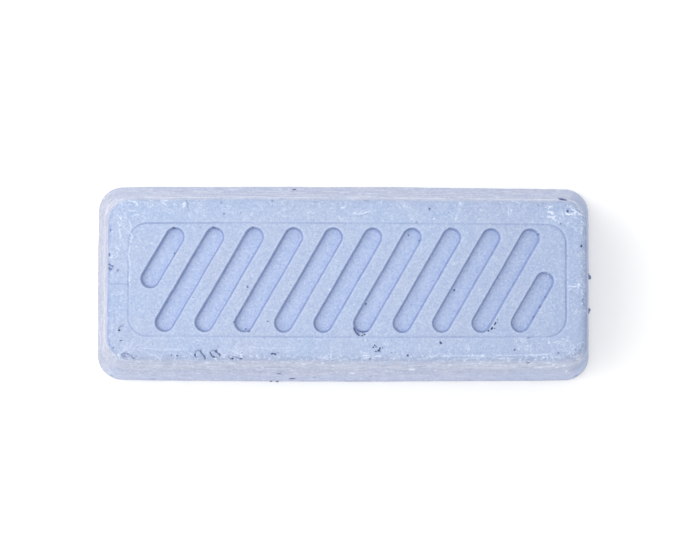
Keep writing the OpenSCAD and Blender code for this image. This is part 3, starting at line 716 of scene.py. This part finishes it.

# ---------------------------------------------------------------- what the material reads

# painted shade on the rim rounding, along the foot of the walls, low on the left wall, in the corner ripple and on the
# faces turned right, away from the key light
rim = np.exp(-(((rest[:, 2] - (H - 0.6)) / 0.75) ** 2)) * (~is_top)
edge = rim * (0.13 + 0.36 * smoothstep(0.2, 0.7, -N[:, 0]))
edge = np.maximum(edge, (0.16 * smoothstep(0.15, 0.6, N[:, 0]) + 0.58 * smoothstep(0.7, 0.95, N[:, 0])) * smoothstep(14, 23, rest[:, 2]))
edge = np.maximum(edge, 0.8 * smoothstep(2.2, 1.0, rest[:, 2]) * (~is_top) * (~is_under))
edge = np.maximum(edge, 0.22 * smoothstep(14, 6, rest[:, 2]) * smoothstep(0.5, 0.9, -N[:, 0]))
# painted shade: less pale bloom on the walls turned right, away from the key light, and on the right-hand end of the
# front wall
wall *= 1 - 0.85 * smoothstep(0.15, 0.6, N[:, 0])
wall *= 1 - 0.42 * smoothstep(18, 40, rest[:, 0]) * smoothstep(0.1, 0.4, -N[:, 1])
fade = smoothstep(27.8, 21.5, rest[:, 2] + 2.2 * noise_b(rest / (4.0, 4.0, 2.0) + 12))
wall *= np.where(N[:, 1] < 0.2, 0.30 + 0.70 * fade, 0.75 + 0.25 * fade)
wander = 1.1 * noise_a(rest / 8.0 + 120)
# painted sheen, partly rubbed wear: pale bands high on the back wall, across the left wall and on the front wall
wall_sheen_and_wear = 0.95 * np.exp(-(((rest[:, 2] - 23.2 + wander) / 1.3) ** 2)) * smoothstep(0.3, 0.8, N[:, 1])
wall_sheen_and_wear = np.maximum(wall_sheen_and_wear, 0.62 * np.exp(-(((rest[:, 2] - 19.5 + 2 * wander) / 3.0) ** 2)) * smoothstep(0.3, 0.8, -N[:, 0]) * smoothstep(21, 14, np.abs(rest[:, 1])))
# painted shade in the ripple and on the right-hand corners
edge = np.maximum(edge, 0.45 * ripple)
edge = np.maximum(edge, 0.34 * smoothstep(0.10, 0.35, N[:, 0]) * smoothstep(0.06, 0.25, np.abs(N[:, 1])) * smoothstep(4, 12, rest[:, 2]) * (~is_top))
# greyer on the upper part of the left-facing wall
left_wall_grey = smoothstep(0.35, 0.8, -N[:, 0]) * smoothstep(27.5, 25, rest[:, 2])
# darker towards the right-hand end: painted shade where the key light falls off, partly the compound's own tint
right_end_tint_and_shade = smoothstep(8, 50, rest[:, 0]) * (0.8 + 0.2 * noise_a(rest / 11.0 + 90))
# more painted sheen, partly rubbed wear, on the front wall
wall_sheen_and_wear = np.maximum(wall_sheen_and_wear, 0.62 * np.exp(-(((rest[:, 2] - 20.5) / 4.0) ** 2)) * smoothstep(0.3, 0.8, -N[:, 1]) * (0.7 + 0.3 * smoothstep(-10, 20, rest[:, 0])))


def blob(x, y, sx, sy):
    return np.exp(-(((rest[:, 0] - x) / sx) ** 2) - ((rest[:, 1] - y) / sy) ** 2)


scuff = 0.10 + 0.9 * blob(46, 13.5, 4.5, 3.5) + 0.65 * blob(49.5, 2, 1.8, 9) + 0.5 * blob(-47.5, 5, 2.4, 9) + 0.4 * blob(42, -13.5, 6, 2.6) + 0.5 * blob(-40, 15, 9, 3) + 0.3 * blob(-14, 15.5, 7, 2)
scuff += 0.28 * smoothstep(11.6, 12.6, np.abs(rest[:, 1])) * (rest[:, 2] > 20) + 0.25 * smoothstep(45.2, 46.2, np.abs(rest[:, 0]))
scuff = np.clip(scuff, 0, 1)
scuff[wall > 0.5] = 0.45
scuff *= 1 - 0.75 * groove
# pale broken lines along the rims, partly rubbed wear and partly painted highlight where the rounding catches the light
below = -(rest[:, 1] + 15.9 - 0.4 * wander)
rim_wear_and_highlight = np.exp(-((below / np.where(below > 0, 2.3, 0.5)) ** 2)) * (rest[:, 2] > 12) * (0.85 + 0.15 * smoothstep(20, 32, rest[:, 0]))
lowwall = smoothstep(15, 6, rest[:, 2]) * smoothstep(0.6, 1.6, rest[:, 2]) * smoothstep(0.3, 0.7, -N[:, 1]) * (0.8 + 0.2 * noise_b(rest / 5.0 + 33))
rim_wear_and_highlight = np.maximum(rim_wear_and_highlight, 0.7 * np.exp(-(((rest[:, 1] - 15.9) / 0.5) ** 2)) * (rest[:, 2] > 22) * (0.5 + 0.5 * smoothstep(-30, -36, rest[:, 0])))
rim_wear_and_highlight = np.maximum(rim_wear_and_highlight, 0.45 * np.exp(-(((rest[:, 0] + 49.4) / 0.5) ** 2)) * (rest[:, 2] > 22))

for name, value in (("pit", pit), ("bloom", bloom), ("wall", wall), ("groove", groove), ("scuff", scuff), ("edge", edge), ("crease_shade", crease_shade), ("wall_sheen_and_wear", wall_sheen_and_wear), ("right_end_tint_and_shade", right_end_tint_and_shade), ("left_wall_grey", left_wall_grey), ("lip_highlight", lip_highlight), ("stroke", stroke), ("rim_wear_and_highlight", rim_wear_and_highlight), ("lowwall", lowwall), ("under", is_under.astype(float))):
    layer = mesh.attributes.new(name, "FLOAT", "POINT")
    layer.data.foreach_set("value", np.clip(value, 0, 1).astype(np.float32))

P[:, 0] += CX
P[:, 1] += CY
P[:, 2] += Z0
mesh.vertices.foreach_set("co", (P * MM).astype(np.float32).ravel())
mesh.shade_smooth()
mesh.update()
bar = bpy.data.objects.new("cast_bar_detail", mesh)
bpy.context.scene.collection.objects.link(bar)

# ---------------------------------------------------------------- materials


class Nodes:
    """A small helper that adds and wires shader nodes."""

    def __init__(self, name):
        self.mat = bpy.data.materials.new(name)
        self.mat.use_nodes = True
        self.tree = self.mat.node_tree
        self.bsdf = self.tree.nodes["Principled BSDF"]
        coord = self.tree.nodes.new("ShaderNodeTexCoord")
        self.at = coord.outputs["Object"]

    def link(self, a, b):
        self.tree.links.new(a, b)

    def attr(self, name):
        n = self.tree.nodes.new("ShaderNodeAttribute")
        n.attribute_name = name
        return n.outputs["Fac"]

    def noise(self, size, detail=2.0, rough=0.5, stretch=None, distortion=0.0, shift=0.0):
        """Noise whose features are about size millimetres."""
        n = self.tree.nodes.new("ShaderNodeTexNoise")
        n.inputs["Scale"].default_value = 1.0 / (size * MM)
        n.inputs["Detail"].default_value = detail
        n.inputs["Roughness"].default_value = rough
        n.inputs["Distortion"].default_value = distortion
        m = self.tree.nodes.new("ShaderNodeMapping")
        m.inputs["Scale"].default_value = stretch or (1, 1, 1)
        m.inputs["Location"].default_value = (shift, shift * 0.7, shift * 1.3)
        self.link(self.at, m.inputs["Vector"])
        self.link(m.outputs["Vector"], n.inputs["Vector"])
        return n.outputs["Fac"]

    def cells(self, size, shift=0.0):
        n = self.tree.nodes.new("ShaderNodeTexVoronoi")
        n.inputs["Scale"].default_value = 1.0 / (size * MM)
        m = self.tree.nodes.new("ShaderNodeMapping")
        m.inputs["Location"].default_value = (shift, shift, shift)
        self.link(self.at, m.inputs["Vector"])
        self.link(m.outputs["Vector"], n.inputs["Vector"])
        return n

    def range(self, value, a, b, c=0.0, d=1.0):
        n = self.tree.nodes.new("ShaderNodeMapRange")
        n.clamp = True
        for i, x in zip(("From Min", "From Max", "To Min", "To Max"), (a, b, c, d)):
            n.inputs[i].default_value = x
        self.link(value, n.inputs["Value"])
        return n.outputs["Result"]

    def math(self, op, a, b=None, c=None):
        n = self.tree.nodes.new("ShaderNodeMath")
        n.operation = op
        for i, x in enumerate((a, b, c)):
            if x is None:
                continue
            if isinstance(x, (int, float)):
                n.inputs[i].default_value = x
            else:
                self.link(x, n.inputs[i])
        return n.outputs[0]

    def mix(self, fac, a, b, kind="MIX"):
        n = self.tree.nodes.new("ShaderNodeMix")
        n.data_type = "RGBA"
        n.blend_type = kind
        n.clamp_factor = True
        for sock, x in ((n.inputs[0], fac), (n.inputs[6], a), (n.inputs[7], b)):
            if isinstance(x, (int, float)):
                sock.default_value = x
            elif isinstance(x, tuple):
                sock.default_value = (*x, 1.0)
            else:
                self.link(x, sock)
        return n.outputs[2]

    def bump(self, height, distance, strength=1.0, normal=None):
        n = self.tree.nodes.new("ShaderNodeBump")
        n.inputs["Distance"].default_value = distance * MM
        n.inputs["Strength"].default_value = strength
        self.link(height, n.inputs["Height"])
        if normal is not None:
            self.link(normal, n.inputs["Normal"])
        return n.outputs["Normal"]


def srgb(r, g, b):
    return tuple(((c / 255) / 12.92 if c / 255 <= 0.04045 else ((c / 255 + 0.055) / 1.055) ** 2.4) for c in (r, g, b))


BODY = srgb(164, 178, 205)
BODY_COOL = srgb(159, 177, 206)
BODY_WARM = srgb(168, 178, 203)
RECESS = srgb(167, 183, 217)
CHALK = srgb(201, 211, 232)
WHITE = srgb(213, 222, 241)
CHALK_WALL = srgb(171, 178, 200)
CHALK_STREAK = srgb(202, 206, 221)
DARK = srgb(56, 72, 122)


def compound():
    s = Nodes("compound")
    pit_, bloom_, wall_, groove_, scuff_, edge_, crease_shade_, wall_sheen_and_wear_, right_end_tint_and_shade_, left_wall_grey_ = (
        s.attr(n) for n in ("pit", "bloom", "wall", "groove", "scuff", "edge", "crease_shade", "wall_sheen_and_wear", "right_end_tint_and_shade", "left_wall_grey"))
    # slow drift of tint, painted shade towards the right-hand end, then mottling, then grain
    tint = s.mix(s.range(s.noise(15, 2, 0.5, shift=0.02), 0.35, 0.65), BODY_COOL, BODY_WARM)
    col = s.mix(0.65, BODY, tint)
    # recess floors: a cleaner, bluer compound, painted a little lighter too to offset the shade inside the recesses
    col = s.mix(s.math("MULTIPLY", groove_, 0.75), col, RECESS)
    # painted shade towards the right-hand end, partly the compound's own tint
    col = s.mix(s.math("MULTIPLY", right_end_tint_and_shade_, 0.55), col, srgb(148, 165, 197))
    mott = s.noise(3.2, 4, 0.6, shift=0.05)
    col = s.mix(s.range(mott, 0.3, 0.5, 0.12, 0.0), col, srgb(146, 162, 200))
    col = s.mix(s.range(mott, 0.52, 0.72, 0.0, 0.16), col, srgb(190, 200, 224))
    grain = s.noise(0.4, 3, 0.75, shift=0.01)
    col = s.mix(s.range(grain, 0.28, 0.48, 0.70, 0.0), col, srgb(130, 148, 192))
    col = s.mix(s.range(grain, 0.53, 0.73, 0.0, 0.66), col, srgb(204, 213, 234))
    # painted shade: darker blue on the rim rounding, along the foot of the walls and on the faces turned away from the
    # key light; painted shade on the recess walls and in the witness line
    col = s.mix(edge_, col, srgb(104, 121, 164))
    # painted shade on the recess walls and in the witness line
    col = s.mix(s.math("MULTIPLY", crease_shade_, 0.58), col, srgb(104, 122, 172))
    # painted highlight just outside the recess lips and beside the witness line
    col = s.mix(s.math("MULTIPLY", s.attr("lip_highlight"), 0.38), col, srgb(190, 201, 228))
    # walls: a greyer bloom, drawn out along the mould, kept thin on the walls turned away from the key light as painted
    # shade
    draw = s.noise(1.5, 5, 0.7, (0.16, 0.16, 1.3), 0.6, 0.03)
    wall_bloom = s.math("MULTIPLY", wall_, s.range(draw, 0.3, 0.62, 0.42, 0.86))
    col = s.mix(wall_bloom, col, CHALK_WALL)
    # greyer on the upper part of the left-facing wall
    col = s.mix(s.math("MULTIPLY", left_wall_grey_, 0.75), col, srgb(161, 161, 171))
    blush = s.noise(5.5, 3, 0.6, (0.5, 0.5, 0.9), 0.8, 0.22)
    col = s.mix(s.math("MULTIPLY", wall_, s.range(blush, 0.51, 0.66, 0.0, 0.45)), col, srgb(187, 179, 202))
    col = s.mix(s.math("MULTIPLY", wall_, s.range(blush, 0.34, 0.50, 0.45, 0.0)), col, srgb(158, 170, 204))
    blot = s.noise(2.3, 5, 0.72, (0.7, 0.7, 1.0), 0.6, 0.14)
    col = s.mix(s.math("MULTIPLY", wall_, s.range(blot, 0.34, 0.48, 0.85, 0.0)), col, srgb(146, 154, 184))
    col = s.mix(s.math("MULTIPLY", wall_, s.range(blot, 0.52, 0.66, 0.0, 0.82)), col, CHALK_STREAK)
    speck = s.noise(0.5, 3, 0.8, (1.0, 1.0, 0.4), shift=0.12)
    col = s.mix(s.math("MULTIPLY", wall_, s.range(speck, 0.32, 0.46, 0.8, 0.0)), col, srgb(136, 146, 180))
    col = s.mix(s.math("MULTIPLY", wall_, s.range(speck, 0.54, 0.70, 0.0, 0.82)), col, CHALK)
    col = s.mix(s.math("MULTIPLY", s.attr("lowwall"), 0.34), col, srgb(196, 206, 238))
    hair = s.noise(0.9, 4, 0.75, (0.30, 0.30, 1.0), 0.5, 0.08)
    hair_limit = s.math("SUBTRACT", 0.60, s.math("MULTIPLY", wall_sheen_and_wear_, 0.09))
    hairs = s.math("MULTIPLY", wall_, s.range(s.math("SUBTRACT", hair, hair_limit), 0.0, 0.07, 0.0, 0.8))
    col = s.mix(hairs, col, CHALK)
    col = s.mix(s.math("MULTIPLY", wall_, s.range(hair, 0.32, 0.44, 0.32, 0.0)), col, srgb(140, 148, 180))
    # painted sheen, partly rubbed wear: a pale band on the walls, broken up
    rub = s.noise(1.8, 4, 0.7, (0.30, 0.30, 0.7), 0.4, 0.16)
    col = s.mix(s.math("MULTIPLY", wall_sheen_and_wear_, s.range(rub, 0.42, 0.60, 0.0, 1.0)), col, srgb(206, 208, 220))
    # flecks of white dust
    fleck = s.noise(0.75, 4, 0.74, (1.0, 1.35, 1.0), 0.35, 0.04)
    level = s.math("SUBTRACT", 0.72, s.math("MULTIPLY", scuff_, 0.075))
    over = s.math("SUBTRACT", fleck, level)
    flecks = s.range(over, 0.0, 0.07, 0.0, 0.75)
    col = s.mix(flecks, col, CHALK)
    # thin curling wrinkles of dust
    curl = s.noise(1.3, 3, 0.62, (1.0, 1.4, 1.0), 0.9, 0.18)
    thin_line = s.range(s.math("ABSOLUTE", s.math("SUBTRACT", curl, 0.5)), 0.010, 0.026, 1.0, 0.0)
    curl2 = s.noise(3.0, 3, 0.55, (1.2, 0.8, 1.0), 0.5, 0.28)
    thin_line = s.math("MAXIMUM", thin_line, s.range(s.math("ABSOLUTE", s.math("SUBTRACT", curl2, 0.49)), 0.004, 0.010, 0.8, 0.0))
    place = s.math("ADD", s.noise(3.4, 3, 0.65, shift=0.2), s.math("MULTIPLY", scuff_, 0.22))
    wrinkles = s.math("MULTIPLY", thin_line, s.range(place, 0.655, 0.73, 0.0, 0.9))
    wrinkles = s.math("MULTIPLY", wrinkles, s.math("SUBTRACT", 1.0, wall_))
    col = s.mix(wrinkles, col, CHALK)
    # ragged smears where the mask is strong
    shred = s.noise(0.72, 3, 0.75, (0.85, 2.0, 1.0), 0.8, 0.06)
    limit = s.math("SUBTRACT", 0.76, s.math("MULTIPLY", bloom_, 0.40))
    smear = s.range(s.math("SUBTRACT", shred, limit), 0.0, 0.05, 0.0, 0.95)
    col = s.mix(smear, col, CHALK)
    # pale broken lines along the rims: partly rubbed wear, partly painted highlight
    drag = s.noise(0.9, 4, 0.72, (0.24, 0.9, 1.0), 0.5, 0.31)
    drag = s.range(drag, 0.54, 0.63, 0.0, 0.62)
    col = s.mix(s.math("MULTIPLY", s.attr("rim_wear_and_highlight"), drag), col, CHALK)
    # drag marks of demoulding, short strokes up the walls, also along the rim lines that carry painted highlight
    spatter = s.noise(0.62, 4, 0.72, (0.8, 0.8, 0.19), 0.3, 0.37)
    where = s.math("MAXIMUM", s.attr("rim_wear_and_highlight"), s.math("MULTIPLY", wall_, 0.42))
    col = s.mix(s.math("MULTIPLY", where, s.range(spatter, 0.56, 0.63, 0.0, 0.9)), col, WHITE)
    col = s.mix(s.math("MULTIPLY", where, s.range(spatter, 0.37, 0.45, 0.55, 0.0)), col, srgb(140, 152, 186))
    inked = s.math("MULTIPLY", s.attr("stroke"), s.range(shred, 0.36, 0.50, 0.35, 1.0))
    col = s.mix(inked, col, WHITE)
    # tiny pores
    cell = s.cells(1.7, 0.013)
    pore = s.range(cell.outputs["Distance"], 0.05, 0.12, 1.0, 0.0)
    chosen = s.range(s.noise(5.0, 2, 0.5, shift=0.11), 0.53, 0.6)
    pores = s.math("MULTIPLY", pore, s.math("MULTIPLY", chosen, 0.55))
    col = s.mix(pores, col, srgb(110, 126, 166))
    col = s.mix(s.math("MULTIPLY", pit_, 0.92), col, DARK)
    s.link(col, s.bsdf.inputs["Base Color"])
    rough = s.range(s.noise(1.4, 3, 0.6, shift=0.07), 0.3, 0.7, 0.52, 0.70)
    rough = s.math("ADD", rough, s.math("MULTIPLY", smear, 0.15))
    s.link(rough, s.bsdf.inputs["Roughness"])
    s.bsdf.inputs["IOR"].default_value = 1.46
    s.bsdf.inputs["Specular IOR Level"].default_value = 0.35
    n1 = s.bump(mott, 0.05, 0.9)
    n2 = s.bump(grain, 0.05, 1.0, n1)
    n3 = s.bump(s.math("MAXIMUM", s.math("MAXIMUM", flecks, wrinkles), smear), 0.022, 0.8, n2)
    n4 = s.bump(s.math("SUBTRACT", 1.0, pores), 0.08, 0.8, n3)
    s.link(n4, s.bsdf.inputs["Normal"])
    return s.mat


def crumb_material():
    s = Nodes("compound_crumb")
    n = s.noise(0.3, 3, 0.6)
    col = s.mix(s.range(n, 0.35, 0.65), srgb(74, 88, 122), srgb(122, 137, 172))
    s.link(col, s.bsdf.inputs["Base Color"])
    s.link(s.range(n, 0.3, 0.7, 0.55, 0.75), s.bsdf.inputs["Roughness"])
    s.link(s.bump(s.noise(0.12, 3, 0.6), 0.03), s.bsdf.inputs["Normal"])
    return s.mat


bar_material = compound()
mesh.materials.append(bar_material)
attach(bar, "root")
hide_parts("cast_bar")

# ---------------------------------------------------------------- crumbs

bm = bmesh.new()
for n, (x, y, z, size) in enumerate(CRUMBS):
    made = bmesh.ops.create_icosphere(bm, subdivisions=3, radius=size)
    q = np.array([v.co for v in made["verts"]])
    lump = 1 + 0.28 * noise_a(q / size * 0.9 + n * 7) + 0.14 * noise_b(q / size * 2.2 + n * 3)
    q = q * lump[:, None] * (1.0, 0.85, 0.8)
    for v, c in zip(made["verts"], q):
        v.co = ((c[0] + x + CX) * MM, (c[1] + y + CY) * MM, max(c[2] + z, 0.02) * MM + Z0 * MM)
crumb_mesh = bpy.data.meshes.new("edge_crumbs")
bm.to_mesh(crumb_mesh)
bm.free()
crumb_mesh.shade_smooth()
crumb_mesh.materials.append(crumb_material())
crumbs = bpy.data.objects.new("edge_crumbs", crumb_mesh)
bpy.context.scene.collection.objects.link(crumbs)
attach(crumbs, "root")

# ---------------------------------------------------------------- stage, light, camera

floor_mesh = bpy.data.meshes.new("floor")
bm = bmesh.new()
bmesh.ops.create_grid(bm, x_segments=4, y_segments=4, size=1.6)
bmesh.ops.translate(bm, verts=bm.verts, vec=(0, 0, Z0 * MM - 0.00005))
bm.to_mesh(floor_mesh)
bm.free()
floor = bpy.data.objects.new("floor", floor_mesh)
bpy.context.scene.collection.objects.link(floor)
f = Nodes("paper")
f.link(f.mix(f.range(f.noise(120, 2), 0.3, 0.7), srgb(244, 244, 243), srgb(247, 247, 246)), f.bsdf.inputs["Base Color"])
f.bsdf.inputs["Roughness"].default_value = 0.9
f.bsdf.inputs["Specular IOR Level"].default_value = 0.2
f.bsdf.inputs["Emission Color"].default_value = (1.0, 1.0, 1.0, 1.0)
f.bsdf.inputs["Emission Strength"].default_value = 0.09  # a little light comes up through the table
floor_mesh.materials.append(f.mat)

world = bpy.data.worlds.new("studio")
bpy.context.scene.world = world
world.use_nodes = True
world.node_tree.nodes["Background"].inputs["Color"].default_value = (1.0, 1.0, 1.0, 1)
world.node_tree.nodes["Background"].inputs["Strength"].default_value = 0.97


def softbox(name, at, target, size, watts, color=(1, 1, 1)):
    light = bpy.data.lights.new(name, "AREA")
    light.shape = "RECTANGLE"
    light.size, light.size_y = size
    light.energy = watts
    light.color = color
    o = bpy.data.objects.new(name, light)
    o.location = at
    o.rotation_euler = (Vector(target) - Vector(at)).to_track_quat("-Z", "Y").to_euler()
    o.visible_camera = False
    bpy.context.scene.collection.objects.link(o)
    return o


softbox("key", (-0.37, 0.07, 0.44), (0, 0, 0), (0.42, 0.5), 1.75)

cam = bpy.data.cameras.new("camera")
cam.sensor_width = 36.0
cam.lens = 89.675
cam.clip_start = 0.01
camera = bpy.data.objects.new("camera", cam)
camera.location = ((CX - 11.043) * MM, (CY - 12.071) * MM, (Z0 + 391.63) * MM)
camera.rotation_euler = (0.033140, -0.031514, 0.0019955)
bpy.context.scene.collection.objects.link(camera)
bpy.context.scene.camera = camera

bpy.context.scene.view_settings.view_transform = "Standard"
bpy.context.scene.view_settings.look = "None"
